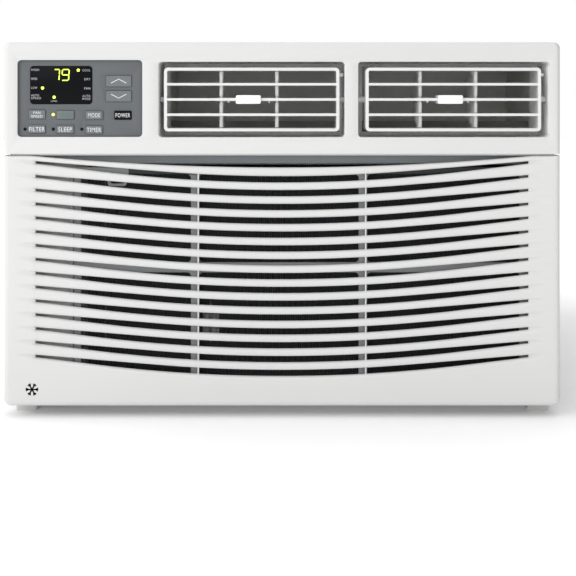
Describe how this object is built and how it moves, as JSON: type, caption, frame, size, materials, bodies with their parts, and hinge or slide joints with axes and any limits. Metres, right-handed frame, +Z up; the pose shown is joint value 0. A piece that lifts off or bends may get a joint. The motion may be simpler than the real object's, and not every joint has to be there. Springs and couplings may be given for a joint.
{
  "type": "window air conditioner",
  "caption": "Window air conditioner with drop-down slotted intake grille, two tilting air outlets with swinging vanes, and an electronic control panel.",
  "frame": {"origin": "centre of the footprint, on the surface that the feet stand on", "axes": "+X to the viewer's right across the width, -Y out of the room-side front, +Z up"},
  "size_m": [0.558, 0.505, 0.376],
  "materials": {
    "white_plastic": "satin",
    "grey_plastic": "satin",
    "key_grey": "satin",
    "key_black": "satin",
    "badge_black": "satin",
    "filter_net": "matte",
    "display_black": "gloss",
    "led_green": "gloss",
    "circuit_board": "satin",
    "galvanised_steel": "satin",
    "cabinet_paint": "satin",
    "screw_steel": "satin",
    "capacitor_can": "satin",
    "duct_plastic": "matte",
    "blower_plastic": "satin",
    "motor_paint": "satin",
    "evaporator_aluminium": "satin",
    "condenser_aluminium": "satin",
    "copper": "satin",
    "compressor_paint": "gloss",
    "black_rubber": "matte",
    "terminal_plastic": "satin"
  },
  "bodies": {
    "chassis": {"accumulator": "compressor_paint", "base_pan": "galvanised_steel", "blower_housing": "duct_plastic", "blower_inlet_ring": "duct_plastic", "bulkhead": "galvanised_steel", "cabinet": "cabinet_paint", "cabinet_screws": "screw_steel", "capillary_tube": "copper", "coil_sensor_clip": "capacitor_can", "compressor": "compressor_paint", "compressor_bolts": "screw_steel", "compressor_grommets": "black_rubber", "condenser_fins": "condenser_aluminium", "condenser_tubes": "copper", "control_board": "circuit_board", "control_box": "galvanised_steel", "control_fascia": "grey_plastic", "cord_gland": "black_rubber", "discharge_duct": "duct_plastic", "discharge_pipe": "copper", "display_window": "display_black", "evaporator_fins": "evaporator_aluminium", "evaporator_tubes": "copper", "fan_motor": "motor_paint", "fan_shroud": "duct_plastic", "feet": "white_plastic", "front_frame": "white_plastic", "front_screws": "screw_steel", "grip_recess": "grey_plastic", "indicator_leds": "led_green", "motor_bracket": "galvanised_steel", "run_capacitor": "capacitor_can", "suction_pipe": "copper", "terminal_cover": "terminal_plastic"},
    "grille": {"intake_grille": "white_plastic", "grille_badge": "badge_black", "filter_frame": "grey_plastic", "filter_mesh": "filter_net"},
    "rotor": {"motor_shaft": "screw_steel", "blower_wheel": "blower_plastic", "condenser_fan": "blower_plastic"},
    "button_down": {"button_down": "key_grey"},
    "button_eco": {"button_eco": "key_grey"},
    "button_fan_speed": {"button_fan_speed": "key_grey"},
    "button_filter": {"button_filter": "key_grey"},
    "button_mode": {"button_mode": "key_grey"},
    "button_power": {"button_power": "key_black"},
    "button_sleep": {"button_sleep": "key_grey"},
    "button_timer": {"button_timer": "key_grey"},
    "button_up": {"button_up": "key_grey"},
    "louver_frame_left": {"louver_frame_left": "white_plastic"},
    "louver_frame_right": {"louver_frame_right": "white_plastic"},
    "vane_left_1": {"vane_left_1": "white_plastic"},
    "vane_left_2": {"vane_left_2": "white_plastic"},
    "vane_link_left": {"vane_link_left": "white_plastic"},
    "vane_link_right": {"vane_link_right": "white_plastic"},
    "vane_right_1": {"vane_right_1": "white_plastic"},
    "vane_right_2": {"vane_right_2": "white_plastic"}
  },
  "joints": [
    {"name": "grille_hinge", "type": "hinge", "parent": "chassis", "child": "grille", "pos_m": [0, -0.238, 0.018], "axis": [1, 0, 0], "range_deg": [0, 60]},
    {"name": "rotor_spin", "type": "hinge", "parent": "chassis", "child": "rotor", "pos_m": [0.045, 0, 0.165], "axis": [0, 1, 0], "continuous": true},
    {"name": "louver_tilt_left", "type": "hinge", "parent": "chassis", "child": "louver_frame_left", "pos_m": [-0.0304, -0.2325, 0.3185], "axis": [1, 0, 0], "range_deg": [-20, 20]},
    {"name": "vane_swing_left_1", "type": "hinge", "parent": "louver_frame_left", "child": "vane_left_1", "pos_m": [-0.0619, -0.222, 0.3185], "axis": [0, 0, 1], "range_deg": [-25, 25]},
    {"name": "vane_swing_left_2", "type": "hinge", "parent": "louver_frame_left", "child": "vane_left_2", "pos_m": [-0.0053, -0.222, 0.3185], "axis": [0, 0, 1], "range_deg": [-25.2, 25.2]},
    {"name": "vane_link_slide_left", "type": "slide", "parent": "louver_frame_left", "child": "vane_link_left", "axis": [1, 0, 0], "range_m": [-0.0056, 0.0056]},
    {"name": "louver_tilt_right", "type": "hinge", "parent": "chassis", "child": "louver_frame_right", "pos_m": [0.172, -0.2325, 0.3185], "axis": [1, 0, 0], "range_deg": [-20, 20]},
    {"name": "vane_swing_right_1", "type": "hinge", "parent": "louver_frame_right", "child": "vane_right_1", "pos_m": [0.1405, -0.222, 0.3185], "axis": [0, 0, 1], "range_deg": [-25, 25]},
    {"name": "vane_swing_right_2", "type": "hinge", "parent": "louver_frame_right", "child": "vane_right_2", "pos_m": [0.1971, -0.222, 0.3185], "axis": [0, 0, 1], "range_deg": [-25.2, 25.2]},
    {"name": "vane_link_slide_right", "type": "slide", "parent": "louver_frame_right", "child": "vane_link_right", "axis": [1, 0, 0], "range_m": [-0.0056, 0.0056]},
    {"name": "button_down_press", "type": "slide", "parent": "chassis", "child": "button_down", "axis": [0, 1, 0], "range_m": [0, 0.0008], "stiffness_N_per_m": 400},
    {"name": "button_eco_press", "type": "slide", "parent": "chassis", "child": "button_eco", "axis": [0, 1, 0], "range_m": [0, 0.0008], "stiffness_N_per_m": 400},
    {"name": "button_fan_speed_press", "type": "slide", "parent": "chassis", "child": "button_fan_speed", "axis": [0, 1, 0], "range_m": [0, 0.0008], "stiffness_N_per_m": 400},
    {"name": "button_filter_press", "type": "slide", "parent": "chassis", "child": "button_filter", "axis": [0, 1, 0], "range_m": [0, 0.0008], "stiffness_N_per_m": 400},
    {"name": "button_mode_press", "type": "slide", "parent": "chassis", "child": "button_mode", "axis": [0, 1, 0], "range_m": [0, 0.0008], "stiffness_N_per_m": 400},
    {"name": "button_power_press", "type": "slide", "parent": "chassis", "child": "button_power", "axis": [0, 1, 0], "range_m": [0, 0.0008], "stiffness_N_per_m": 400},
    {"name": "button_sleep_press", "type": "slide", "parent": "chassis", "child": "button_sleep", "axis": [0, 1, 0], "range_m": [0, 0.0008], "stiffness_N_per_m": 400},
    {"name": "button_timer_press", "type": "slide", "parent": "chassis", "child": "button_timer", "axis": [0, 1, 0], "range_m": [0, 0.0008], "stiffness_N_per_m": 400},
    {"name": "button_up_press", "type": "slide", "parent": "chassis", "child": "button_up", "axis": [0, 1, 0], "range_m": [0, 0.0008], "stiffness_N_per_m": 400}
  ],
  "couplings": [
    {"joint": "vane_swing_left_2", "follows": "vane_swing_left_1", "ratio": 1},
    {"joint": "vane_link_slide_left", "follows": "vane_swing_left_1", "m_per_rad": 0.01259},
    {"joint": "vane_swing_right_2", "follows": "vane_swing_right_1", "ratio": 1},
    {"joint": "vane_link_slide_right", "follows": "vane_swing_right_1", "m_per_rad": 0.01259}
  ]
}
